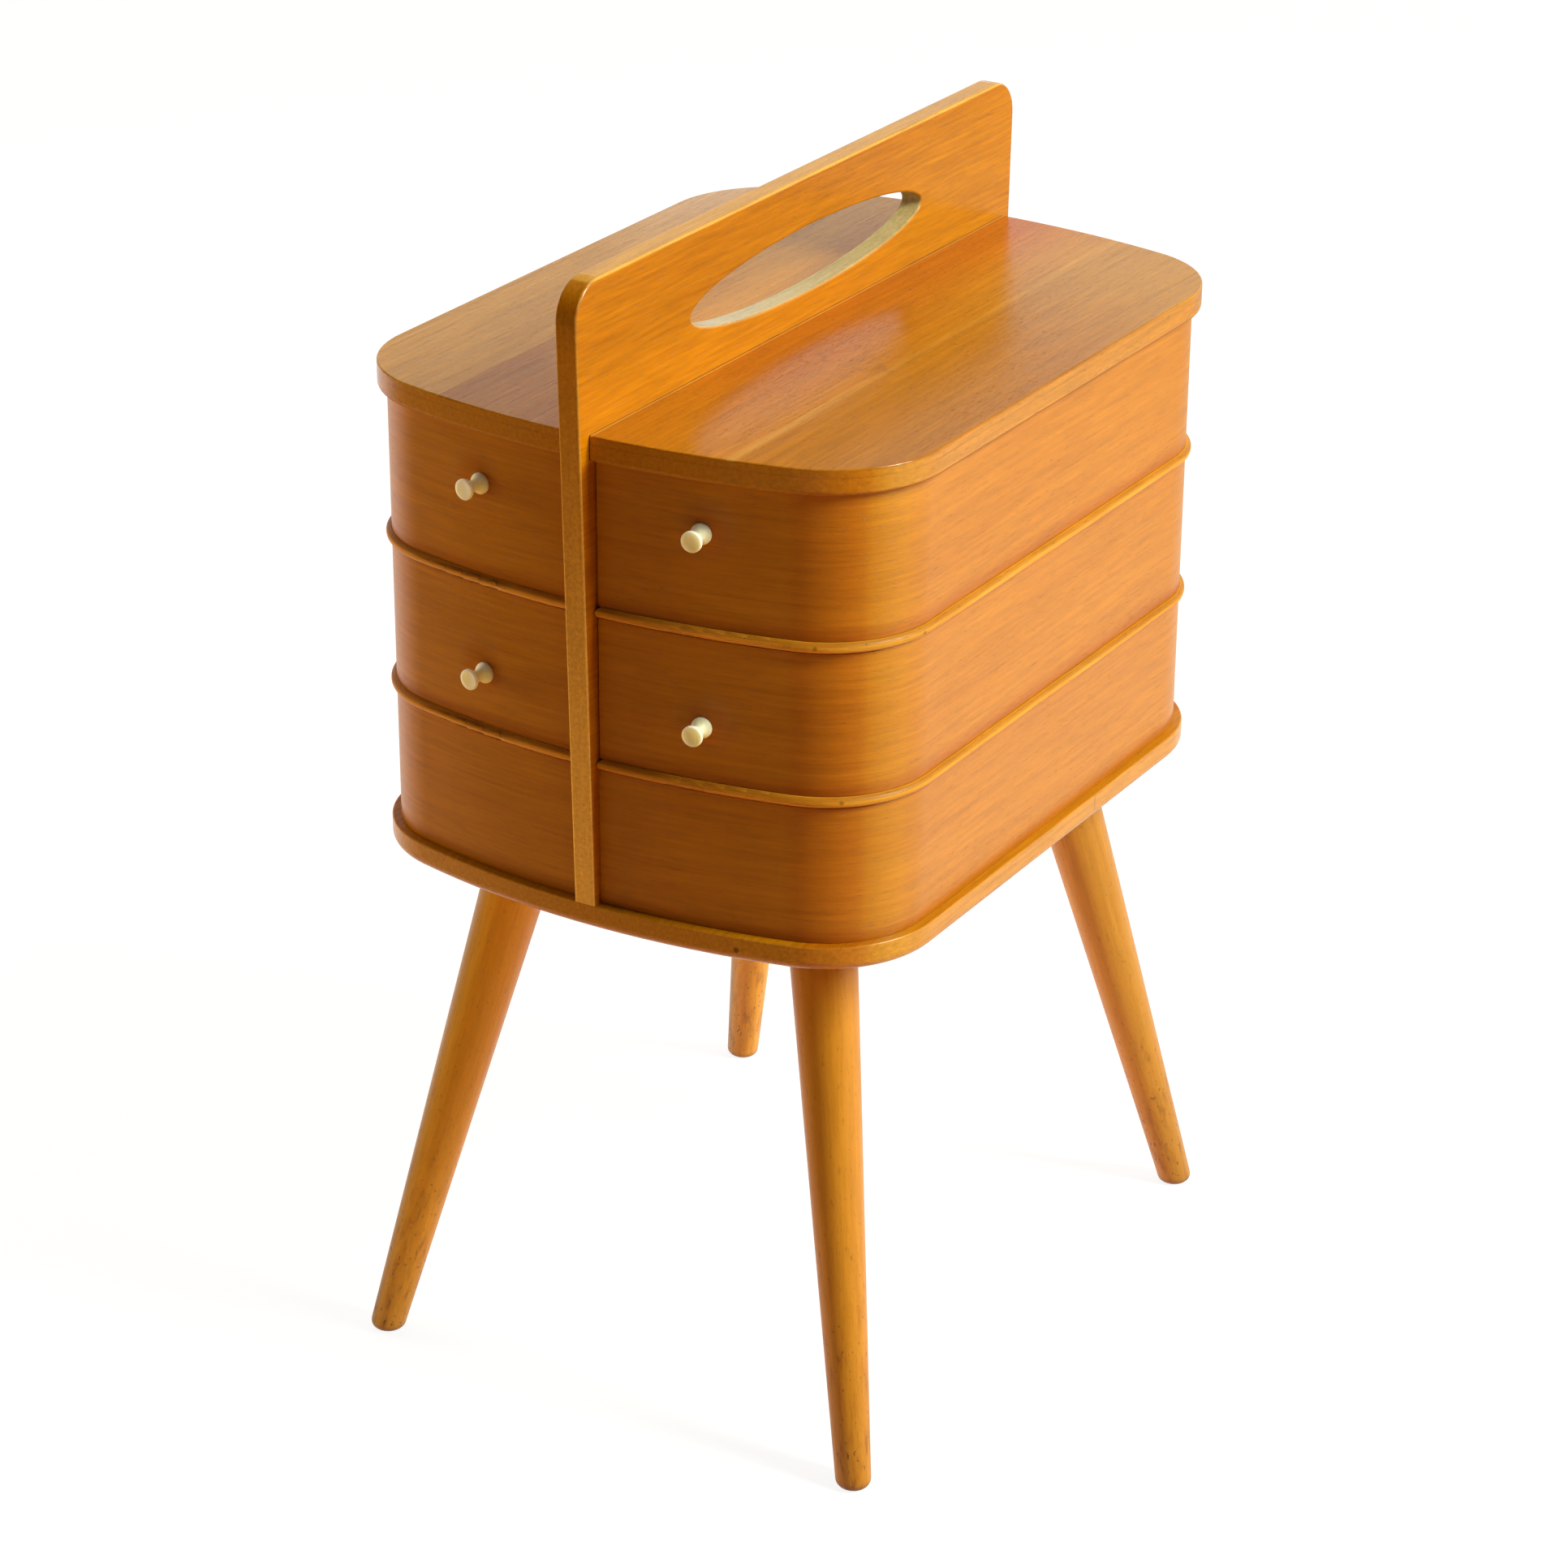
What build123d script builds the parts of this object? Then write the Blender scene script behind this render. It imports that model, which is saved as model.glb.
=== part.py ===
# Sewing box on four splayed legs, with four trays that swing out beside a centre board.
# Millimetres, +Z up. The origin is on the floor below the middle of the box.
# X runs across the centre board, Y along it, and the knobs are on the -Y end.
from math import acos, asin, atan2, cos, degrees, sin, sqrt
import os

from build123d import *

# Plan of the lids and the base plate
half_width = 160.5
half_length = 210.0
end_bow_radius = 463.0
corner_radius = 63.0

# Heights of the stack, from the floor up
leg_height = 298.0
base_thickness = 13.8
bottom_wall_height = 74.8
tray_gap = 0.8
tray_floor_thickness = 5.5
tray_wall_height = 76.6
lid_thickness = 13.8

# Edges of the flat panels
base_lower_round = 5.0
base_upper_round = 1.0
lid_lower_round = 2.5
lid_upper_round = 0.8

# Walls and tray floors
lid_overhang = 4.85
wall_thickness = 5.0
inner_wall_thickness = 4.0
scarf_length = 40.0
bead_reach = 2.9
bead_round_share = 0.48

# Centre board with the carrying handle
board_thickness = 12.5
board_foot_reach = 0.6
board_head_reach = 10.4
handle_rise = 77.6
handle_corner_radius = 20.0
board_edge_round = 1.5
hand_hole_rise = 32.8
hand_hole_half_length = 116.5
hand_hole_half_height = 17.7
hand_hole_round = 1.2

# Pivots
board_gap = 0.6
pivot_setback = 20.0
rod_radius = 4.0
rod_running_clearance = 0.08
rod_fixed_clearance = 0.02
rod_depth_in_base = 8.0
rod_depth_in_lid = 7.0
rod_end_clearance = 0.5
pivot_block_size = 34.0
washer_radius = 9.0
washer_clearance = 0.1

# Knobs
knob_reach = 65.0
top_knob_height = 49.3
middle_knob_height = 29.3
knob_length = 13.4
knob_radius = 5.5
knob_waist_radius = 3.1
knob_disc_thickness = 2.1
knob_rim_round = 0.6
knob_dish_radius = 4.6
knob_dish_depth = 0.6
knob_dish_slope = 0.4
knob_screw_radius = 1.5
knob_screw_clearance = 0.05
knob_screw_depth = 9.0
knob_screw_end_clearance = 0.5
knob_screw_head_radius = 3.2
knob_screw_head_height = 1.9
knob_screw_head_seat = 0.02
knob_screw_slot = 0.8

# Legs
leg_inset_x = 70.0
leg_inset_y = 83.5
leg_splay_x = 61.0
leg_splay_y = 63.5
leg_top_radius = 18.7
leg_foot_radius = 9.4
leg_foot_round = 4.5
bolt_radius = 4.0
bolt_depth_in_leg = 38.0
bolt_clearance = 0.05
bolt_end_clearance = 1.0
insert_radius = 7.0
insert_depth = 10.5
insert_clearance = 0.05

# Dowels between the lids and the board
dowel_radius = 4.0
dowel_depth = 12.0
dowel_clearance = 0.05
dowel_end_clearance = 0.5
dowel_end_distance = 60.0
dowel_count = 3

# Screws from the base plate up into the board
board_screw_radius = 2.25
board_screw_length = 45.0
board_screw_head_radius = 4.5
board_screw_head_height = 2.7
board_screw_tip = 4.0
board_screw_tip_radius = 0.6
board_screw_clearance = 0.05
board_screw_end_distance = 53.0
board_screw_count = 4

# How far a cutting solid passes a face, and how near two measurements count as equal
cut_spare = 1.0
match_tolerance = 0.01

# Places that follow from the sizes above
board_half = board_thickness / 2
base_top = leg_height + base_thickness
bottom_wall_top = base_top + bottom_wall_height
tray_step = tray_gap + tray_floor_thickness + tray_wall_height
tray_bottoms = {"middle": bottom_wall_top + tray_gap, "top": bottom_wall_top + tray_gap + tray_step}
lid_bottom = bottom_wall_top + 2 * tray_step + tray_gap
lid_top = lid_bottom + lid_thickness
board_top = lid_top + handle_rise
hand_hole_height = lid_top + hand_hole_rise
board_foot_half_length = half_length + board_foot_reach
board_head_half_length = half_length + board_head_reach
leg_top_x = half_width - leg_inset_x
leg_top_y = half_length - leg_inset_y
leg_foot_x = leg_top_x + leg_splay_x
leg_foot_y = leg_top_y + leg_splay_y
tray_inner = board_half + board_gap
wall_inset = lid_overhang
bead_inset = lid_overhang - bead_reach
cavity_inset = lid_overhang + wall_thickness
wall_back_corner = pivot_setback - bead_reach
bow_centre = half_length - end_bow_radius
corner_x = half_width - corner_radius
corner_y = bow_centre + sqrt((end_bow_radius - corner_radius) ** 2 - corner_x**2)
corner_turn = degrees(atan2(corner_y - bow_centre, corner_x))
pivot_x = tray_inner + pivot_setback
pivot_y = bow_centre + sqrt((end_bow_radius - bead_inset - pivot_setback) ** 2 - pivot_x**2)


def bow_y(x, inset):
    """Y of the back end at x, on an outline inset from the lid's edge."""
    return bow_centre + sqrt((end_bow_radius - inset) ** 2 - x**2)


def right_side_edges(inset):
    """Long side and its two corners, running from the front to the back."""
    side = half_width - inset
    corner = corner_radius - inset
    return [
        CenterArc((corner_x, -corner_y), corner, -corner_turn, corner_turn),
        Line((side, -corner_y), (side, corner_y)),
        CenterArc((corner_x, corner_y), corner, 0, corner_turn),
    ]


def half_plan(inner, inset, back_corner=0.0):
    """Right half of the plan from x = inner out, with its back inner corner rounded."""
    bow = end_bow_radius - inset
    front_turn = degrees(acos(inner / bow))
    edges = [CenterArc((0, -bow_centre), bow, -front_turn, front_turn - corner_turn)]
    edges += right_side_edges(inset)
    if back_corner:
        round_x = inner + back_corner
        round_y = bow_centre + sqrt((bow - back_corner) ** 2 - round_x**2)
        turn = degrees(atan2(round_y - bow_centre, round_x))
        edges.append(CenterArc((0, bow_centre), bow, corner_turn, turn - corner_turn))
        edges.append(CenterArc((round_x, round_y), back_corner, turn, 180 - turn))
        back_y = round_y
    else:
        edges.append(CenterArc((0, bow_centre), bow, corner_turn, front_turn - corner_turn))
        back_y = bow_y(inner, inset)
    edges.append(Line((inner, back_y), (inner, -bow_y(inner, inset))))
    return make_face(edges)


def whole_plan(inset):
    """Whole plan, bowed at both ends and round at all four corners."""
    bow = end_bow_radius - inset
    sweep = 180 - 2 * corner_turn
    right = right_side_edges(inset)
    left = [edge.mirror(Plane.YZ) for edge in right]
    back = CenterArc((0, bow_centre), bow, corner_turn, sweep)
    front = CenterArc((0, -bow_centre), bow, -corner_turn, -sweep)
    return make_face(right + left + [back, front])


def panel(face, bottom, thickness):
    """Flat panel with its underside at z = bottom."""
    return Pos(0, 0, bottom) * extrude(face, amount=thickness)


def end_face_edges(solid, end):
    """Edges round the top or bottom face."""
    return solid.faces().sort_by(Axis.Z)[end].edges()


def end_face_edges_off_board(solid, end):
    """Edges round the top or bottom face, apart from the one along the board."""
    return [edge for edge in end_face_edges(solid, end) if edge.center().X > board_half + match_tolerance]


def block(low, high):
    """Box between two opposite corners."""
    size = [b - a for a, b in zip(low, high)]
    return Pos(*low) * Box(*size, align=(Align.MIN, Align.MIN, Align.MIN))


def post(x, y, bottom, top, radius):
    """Upright cylinder between two heights."""
    return Pos(x, y, bottom) * Cylinder(radius, top - bottom, align=(Align.CENTER, Align.CENTER, Align.MIN))


def both_sides(name, solid, pieces):
    """Keep a right-hand piece and its left-hand mirror image."""
    pieces[f"{name}_right"] = solid
    pieces[f"{name}_left"] = mirror(solid, about=Plane.YZ)


def both_sides_jointed(name, wall, bottom, top, pieces):
    """Keep a bent wall as a front and a back strip, joined in a scarf at the middle of its side."""
    outside = half_width - wall_inset
    inside = half_width - cavity_inset
    spare = half_length
    end = scarf_length / 2
    outline = Polyline(
        (-cut_spare, -spare),
        (outside + spare, -spare),
        (outside + spare, end),
        (outside, end),
        (inside, -end),
        (-cut_spare, -end),
        close=True,
    )
    front_space = panel(make_face(outline), bottom, top - bottom)
    both_sides(f"{name}_front", wall & front_space, pieces)
    both_sides(f"{name}_back", wall - front_space, pieces)


def in_both_halves(solids):
    """Right-hand solids and their left-hand mirror images."""
    return solids + [mirror(solid, about=Plane.YZ) for solid in solids]


def spread(count, reach):
    """Evenly spaced places from -reach to reach."""
    return [reach * (2 * i / (count - 1) - 1) for i in range(count)]


# Legs and how they are fastened


def leg_plane(side_x, side_y):
    """Plane at the middle of a leg's top, with its Z up along the leg."""
    top = Vector(side_x * leg_top_x, side_y * leg_top_y, leg_height)
    foot = Vector(side_x * leg_foot_x, side_y * leg_foot_y, 0)
    return Plane(origin=top, z_dir=(top - foot).normalized())


def along_leg(plane, low, high, radius):
    """Cylinder on a leg's axis, between two distances from the leg's top."""
    return plane * post(0, 0, low, high, radius)


def leg_length():
    """Length of a leg along its axis."""
    run = sqrt((leg_foot_x - leg_top_x) ** 2 + (leg_foot_y - leg_top_y) ** 2)
    return sqrt(run**2 + leg_height**2)


def turned_leg(side_x, side_y):
    """Tapered round leg, sawn level at both ends and softened at the foot."""
    plane = leg_plane(side_x, side_y)
    length = leg_length()
    spare = 2 * leg_top_radius
    slope = (leg_top_radius - leg_foot_radius) / length
    cone = Cone(
        leg_foot_radius - slope * leg_foot_radius,
        leg_top_radius + slope * spare,
        length + leg_foot_radius + spare,
        align=(Align.CENTER, Align.CENTER, Align.MAX),
    )
    reach = 2 * max(half_width, half_length, leg_foot_x, leg_foot_y)
    between = block((-reach, -reach, 0), (reach, reach, leg_height))
    leg = (plane * Pos(0, 0, spare) * cone) & between
    leg = fillet(leg.faces().sort_by(Axis.Z)[0].edges(), leg_foot_round)
    hole_depth = bolt_depth_in_leg + bolt_end_clearance
    return leg - along_leg(plane, -hole_depth, spare, bolt_radius + bolt_clearance)


def insert_space(plane, radius):
    """Slanting round hole up into the base plate from its underside."""
    hole = along_leg(plane, -2 * radius, insert_depth, radius)
    reach = 2 * radius + half_width + half_length
    return hole & block((-reach, -reach, leg_height), (reach, reach, base_top))


def add_legs(pieces):
    """Four legs, with the bolts and threaded inserts that hold them."""
    bolts = []
    inserts = []
    for end_name, side_y in (("front", -1), ("back", 1)):
        for side_name, side_x in (("left", -1), ("right", 1)):
            plane = leg_plane(side_x, side_y)
            pieces[f"leg_{end_name}_{side_name}"] = turned_leg(side_x, side_y)
            bolts.append(along_leg(plane, -bolt_depth_in_leg, insert_depth - bolt_end_clearance, bolt_radius))
            bore = along_leg(plane, -2 * insert_radius, 2 * insert_depth, bolt_radius + bolt_clearance)
            inserts.append(insert_space(plane, insert_radius) - bore)
    pieces["leg_hanger_bolts"] = bolts
    pieces["leg_threaded_inserts"] = inserts


# Base plate, centre board and lids


def board_screw_places():
    """Places of the board screws along Y."""
    return spread(board_screw_count, board_foot_half_length - board_screw_end_distance)


def dowel_places():
    """Places of the lid dowels along Y."""
    return spread(dowel_count, half_length - dowel_end_distance)


def board_screw(y, spare):
    """Countersunk screw, or the hole for one that is larger all round by spare."""
    radius = board_screw_radius + spare
    head_radius = board_screw_head_radius + spare
    tip_start = leg_height + board_screw_length - board_screw_tip
    head = Pos(0, y, leg_height) * Cone(
        head_radius, radius, board_screw_head_height, align=(Align.CENTER, Align.CENTER, Align.MIN)
    )
    shank = post(0, y, leg_height + board_screw_head_height, tip_start, radius)
    tip = Pos(0, y, tip_start) * Cone(
        radius, board_screw_tip_radius, board_screw_tip + spare, align=(Align.CENTER, Align.CENTER, Align.MIN)
    )
    return head + shank + tip


def base_plate():
    """Base plate with the holes for legs, rods and board screws."""
    plate = panel(whole_plan(0), leg_height, base_thickness)
    plate = fillet(end_face_edges(plate, 0), base_lower_round)
    plate = fillet(end_face_edges(plate, -1), base_upper_round)
    for side_x in (-1, 1):
        for side_y in (-1, 1):
            plate -= insert_space(leg_plane(side_x, side_y), insert_radius + insert_clearance)
        socket_bottom = base_top - rod_depth_in_base - rod_end_clearance
        plate -= post(side_x * pivot_x, pivot_y, socket_bottom, base_top, rod_radius + rod_fixed_clearance)
    for y in board_screw_places():
        plate -= board_screw(y, board_screw_clearance)
    return plate


def dowel(y, spare):
    """Dowel through the board into both lids, or the hole for one."""
    reach = board_half + dowel_depth + (dowel_end_clearance if spare else 0)
    return Pos(0, y, lid_bottom + lid_thickness / 2) * Rot(0, 90, 0) * Cylinder(dowel_radius + spare, 2 * reach)


def centre_board():
    """Full height board that tapers to its foot, with a hand hole above the lids."""
    rise = board_top - base_top
    taper = (board_head_half_length - board_foot_half_length) / rise
    outline = Polyline(
        (-board_foot_half_length, base_top),
        (board_foot_half_length, base_top),
        (board_foot_half_length + taper * rise, board_top),
        (-board_foot_half_length - taper * rise, board_top),
        close=True,
    )
    face = make_face(outline)
    face = fillet(face.vertices().sort_by(Axis.Y)[-2:], handle_corner_radius)
    hole = Pos(0, hand_hole_height) * Ellipse(hand_hole_half_length, hand_hole_half_height)
    board = extrude(Plane.YZ * (face - hole), amount=board_half, both=True)
    flats = board.faces().filter_by(Axis.X)
    rim = [edge for flat in flats for edge in flat.outer_wire().edges() if edge.center().Z > base_top + match_tolerance]
    board = fillet(rim, board_edge_round)
    flats = board.faces().filter_by(Axis.X)
    hole_edges = [edge for flat in flats for wire in flat.inner_wires() for edge in wire.edges()]
    board = fillet(hole_edges, hand_hole_round)
    for y in board_screw_places():
        board -= board_screw(y, board_screw_clearance)
    for y in dowel_places():
        board -= dowel(y, dowel_clearance)
    return board


def lid():
    """Right half lid, square against the board and overhanging the trays."""
    half = panel(half_plan(board_half, 0), lid_bottom, lid_thickness)
    half = fillet(end_face_edges_off_board(half, 0), lid_lower_round)
    half = fillet(end_face_edges_off_board(half, -1), lid_upper_round)
    socket_top = lid_bottom + rod_depth_in_lid + rod_end_clearance
    half -= post(pivot_x, pivot_y, lid_bottom, socket_top, rod_radius + rod_fixed_clearance)
    for y in dowel_places():
        half -= dowel(y, dowel_clearance)
    return half


# Pivot rods and washers


def rod_hole(bottom, top):
    """Running hole for the pivot rod."""
    return post(pivot_x, pivot_y, bottom, top, rod_radius + rod_running_clearance)


def add_pivots(pieces):
    """Rods that carry the trays, and the washers that set the gaps between them."""
    rod = post(pivot_x, pivot_y, base_top - rod_depth_in_base, lid_bottom + rod_depth_in_lid, rod_radius)
    both_sides("pivot_rod", rod, pieces)
    washers = []
    for top in (*tray_bottoms.values(), lid_bottom):
        washer = post(pivot_x, pivot_y, top - tray_gap, top, washer_radius)
        washers.append(washer - post(pivot_x, pivot_y, top - tray_gap, top, rod_radius + washer_clearance))
    pieces["pivot_rod_washers"] = in_both_halves(washers)


# Bottom compartments


def block_region(inner, back, bottom, top):
    """Corner space round the pivot."""
    return block((inner, back - pivot_block_size, bottom), (inner + pivot_block_size, back + corner_radius, top))


def add_bottom_tier(pieces):
    """Fixed walls on the base plate, and the blocks that hold the rods upright."""
    outside = panel(half_plan(board_half, wall_inset), base_top, bottom_wall_height)
    inside = panel(half_plan(board_half, cavity_inset), base_top, bottom_wall_height)
    wall = outside - inside
    both_sides_jointed("bottom_wall", wall, base_top, bottom_wall_top, pieces)
    corner = inside & block_region(board_half, bow_y(pivot_x, wall_inset), base_top, bottom_wall_top)
    both_sides("bottom_pivot_block", corner - rod_hole(base_top, bottom_wall_top), pieces)


# Trays


def knob_plane(height):
    """Plane on the front wall at a knob, with its Z out of the wall."""
    bow = end_bow_radius - wall_inset
    turn = asin(knob_reach / bow)
    out = Vector(sin(turn), -cos(turn), 0)
    return Plane(origin=(bow * sin(turn), -bow_centre - bow * cos(turn), height), z_dir=out)


def knob_screw_hole(plane, reach):
    """Hole for the knob screw, through the wall and into the knob."""
    return plane * post(0, 0, -2 * wall_thickness, reach, knob_screw_radius + knob_screw_clearance)


def knob(plane):
    """Spool-shaped knob with two discs, a drawn-in waist and a dished front."""
    front_start = knob_length - knob_disc_thickness
    waist = (knob_waist_radius, knob_length / 2)
    profile = make_face(
        [
            Line((0, 0), (knob_radius, 0)),
            Line((knob_radius, 0), (knob_radius, knob_disc_thickness)),
            ThreePointArc((knob_radius, knob_disc_thickness), waist, (knob_radius, front_start)),
            Line((knob_radius, front_start), (knob_radius, knob_length)),
            Line((knob_radius, knob_length), (knob_dish_radius, knob_length)),
            Spline(
                (knob_dish_radius, knob_length),
                (0, knob_length - knob_dish_depth),
                tangents=((-1, -knob_dish_slope), (-1, 0)),
            ),
            Line((0, knob_length - knob_dish_depth), (0, 0)),
        ]
    )
    solid = revolve(Plane.XZ * profile, Axis.Z)
    rims = [e for e in solid.edges().filter_by(GeomType.CIRCLE) if abs(e.radius - knob_radius) < match_tolerance]
    solid = fillet(rims, knob_rim_round)
    hole_end = knob_screw_depth + knob_screw_end_clearance
    hole = post(0, 0, -cut_spare, hole_end, knob_screw_radius + knob_screw_clearance)
    return plane * (solid - hole)


def knob_screw(plane):
    """Slotted screw that holds a knob from inside the tray."""
    seat = -wall_thickness - knob_screw_head_seat
    shank = post(0, 0, seat, knob_screw_depth, knob_screw_radius)
    head = post(0, 0, seat - knob_screw_head_height, seat, knob_screw_head_radius)
    head = fillet(head.faces().sort_by(Axis.Z)[0].edges(), knob_screw_head_height / 2)
    slot = Pos(0, 0, seat - knob_screw_head_height) * Box(2 * knob_screw_head_radius, knob_screw_slot, knob_screw_slot)
    return plane * (head - slot + shank)


def add_tray(level, bottom, knob_height, pieces):
    """One pair of trays: floor with its bead, bent walls, inner wall, block and knob."""
    floor_top = bottom + tray_floor_thickness
    wall_top = floor_top + tray_wall_height
    floor = panel(half_plan(tray_inner, bead_inset, pivot_setback), bottom, tray_floor_thickness)
    floor_edges = end_face_edges(floor, 0) + end_face_edges(floor, -1)
    floor = fillet(floor_edges, bead_round_share * tray_floor_thickness)
    floor -= rod_hole(bottom, floor_top)

    outside = panel(half_plan(tray_inner, wall_inset, wall_back_corner), floor_top, tray_wall_height)
    inside = panel(half_plan(tray_inner - cut_spare, cavity_inset), floor_top, tray_wall_height)
    cavity = inside & block((tray_inner, -half_length, floor_top), (half_width, half_length, wall_top))
    back = bow_y(pivot_x, wall_inset)
    round_x = tray_inner + wall_back_corner
    round_y = bow_y(round_x, wall_inset) - wall_back_corner
    corner = outside & block_region(tray_inner, back, floor_top, wall_top)

    shell = outside - cavity
    behind_wall = block((tray_inner - cut_spare, round_y, floor_top), (round_x, half_length, wall_top))
    wall = shell - behind_wall
    inner_limits = block(
        (tray_inner, -half_length, floor_top), (tray_inner + inner_wall_thickness, round_y, wall_top)
    )
    inner_wall = cavity & inner_limits
    pivot_block = corner - wall - inner_wall - rod_hole(floor_top, wall_top)

    plane = knob_plane(floor_top + knob_height)
    wall -= knob_screw_hole(plane, cut_spare)
    both_sides_jointed(f"{level}_tray_wall", wall, floor_top, wall_top, pieces)
    for name, solid in (
        ("floor", floor),
        ("inner_wall", inner_wall),
        ("pivot_block", pivot_block),
        ("knob", knob(plane)),
        ("knob_screw", knob_screw(plane)),
    ):
        both_sides(f"{level}_tray_{name}", solid, pieces)


def build():
    """Every piece of the box by its name."""
    pieces = {"centre_board": centre_board(), "base_plate": base_plate()}
    both_sides("lid", lid(), pieces)
    pieces["lid_dowels"] = [dowel(y, 0) for y in dowel_places()]
    pieces["board_screws"] = [board_screw(y, 0) for y in board_screw_places()]
    add_legs(pieces)
    add_pivots(pieces)
    add_bottom_tier(pieces)
    add_tray("middle", tray_bottoms["middle"], middle_knob_height, pieces)
    add_tray("top", tray_bottoms["top"], top_knob_height, pieces)
    return pieces


os.makedirs("parts", exist_ok=True)
for node, piece in build().items():
    if isinstance(piece, list):
        piece = Compound(children=piece)
    export_step(piece, f"parts/{node}.step")
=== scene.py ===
from functools import reduce
from math import asin, cos, pi, radians, sin

import bmesh
import bpy
from bpy.props import FloatProperty, FloatVectorProperty, IntProperty, PointerProperty
from bpy.types import Operator, Panel, PropertyGroup
from mathutils import Matrix, Vector


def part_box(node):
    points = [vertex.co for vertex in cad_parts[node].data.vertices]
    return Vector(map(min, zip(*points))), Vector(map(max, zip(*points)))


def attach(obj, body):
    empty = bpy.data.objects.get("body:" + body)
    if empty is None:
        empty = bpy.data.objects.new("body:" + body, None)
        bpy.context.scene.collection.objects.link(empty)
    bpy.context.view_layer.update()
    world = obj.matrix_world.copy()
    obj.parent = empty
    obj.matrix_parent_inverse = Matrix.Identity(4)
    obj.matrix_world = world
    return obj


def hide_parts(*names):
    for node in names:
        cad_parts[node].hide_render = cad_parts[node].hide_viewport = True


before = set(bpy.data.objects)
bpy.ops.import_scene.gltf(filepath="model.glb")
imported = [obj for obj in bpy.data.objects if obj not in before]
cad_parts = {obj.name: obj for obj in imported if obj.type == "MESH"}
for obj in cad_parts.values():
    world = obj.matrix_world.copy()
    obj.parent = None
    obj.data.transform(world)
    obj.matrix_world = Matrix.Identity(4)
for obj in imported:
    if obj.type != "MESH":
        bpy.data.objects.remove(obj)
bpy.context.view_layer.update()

bl_info = {
    "name": "Sewing box",
    "version": (1, 0, 0),
    "blender": (4, 5, 0),
    "location": "View3D > Sidebar > Sewing box",
    "description": "Finishes, bent walls, turned knobs and studio for a wooden sewing box",
    "category": "Object",
}

SIDES = {"left": -1, "right": 1}
LEVELS = ("top", "middle")
base_low, base_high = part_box("base_plate")
lid_low, lid_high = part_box("lid_right")
board_low, board_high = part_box("centre_board")
ledges = [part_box(name)[1][2] for name in ("base_plate", "middle_tray_floor_right", "top_tray_floor_right")]

# Sizes of the solids that their boxes don't give, in metres
WALL_INSET = 0.00485
FLOOR_THICKNESS = 0.0055
BOARD_FOOT_REACH = 0.2106
HAND_HOLE_RISE = 0.5998
HAND_HOLE_HALF_LENGTH = 0.1165
HAND_HOLE_HALF_HEIGHT = 0.0177
LEG_TOP = (0.0905, 0.1265, 0.298)
LEG_FOOT = (0.1515, 0.190, 0.0)
LEG_FOOT_RADIUS = 0.0094
# Change with height: how far a leg leans in, and how much its radius grows
LEG_LEAN = 0.2047
LEG_TAPER = 0.0312
# A dressed wall ends this much short of the solid beneath it
WALL_SPARE = 0.00006

# Grain directions: 1 along the grain, 0 across it
ALONG_WALL = (1, 1, 0)
ALONG_BOX = (0, 1, 0)
UPRIGHT = (0, 0, 1)
EVEN = (1, 1, 1)

WHITE = (1, 1, 1)


# Sizes and colours that a user can change


def length(name, description, default):
    """Length property in metres."""
    return FloatProperty(name=name, description=description, default=default, unit="LENGTH",
                         subtype="DISTANCE")


def tone(name, description, default):
    """Colour property."""
    return FloatVectorProperty(name=name, description=description, default=default, size=3, subtype="COLOR",
                               min=0, max=1)


def brightness(name, description, default):
    """Strength of a light."""
    return FloatProperty(name=name, description=description, default=default, min=0)


class SewingBoxSizes(PropertyGroup):
    half_width: length("Half width", "Half the width of the lids and the base plate", base_high[0])
    half_length: length("Half length", "Half the length of the base plate", base_high[1])
    bow_radius: length("Bow radius", "Radius of the bowed ends", 0.463)
    corner_radius: length("Corner radius", "Radius of the four corners", 0.063)
    wall_inset: length("Wall inset", "How far the walls stand back from the lid's edge", WALL_INSET)
    wall_thickness: length("Wall thickness", "Thickness of the bent plywood", 0.005)
    wall_arris: length("Wall arris", "Rounding of the wall's edges", 0.00035)
    pivot_setback: length("Pivot setback", "From the board's face and the tray's end to the rod", 0.02)
    bead_reach: length("Bead reach", "How far a tray floor stands out from its wall", 0.0029)
    wall_steps: IntProperty(name="Wall steps", description="Points along a bent wall", default=260, min=8)
    knob_reach: length("Knob reach", "From the middle of the end to a knob", 0.065)
    knob_radius: length("Knob radius", "Radius of a knob's two discs", 0.0055)
    knob_waist: length("Knob waist", "Radius of a knob's waist", 0.0031)
    knob_length: length("Knob length", "How far a knob stands out", 0.0134)
    knob_disc: length("Knob disc", "Thickness of a knob's discs", 0.0021)
    screw_radius: length("Screw radius", "Radius of a board screw's shank", 0.00225)
    screw_head: length("Screw head radius", "Radius of a board screw's head", 0.0045)
    screw_length: length("Screw length", "Length of a board screw", 0.045)
    screw_count: IntProperty(name="Screw count", description="Screws that hold the board", default=4, min=2)
    screw_reach: length("Screw reach", "From the middle to the last board screw", 0.1576)


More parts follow.
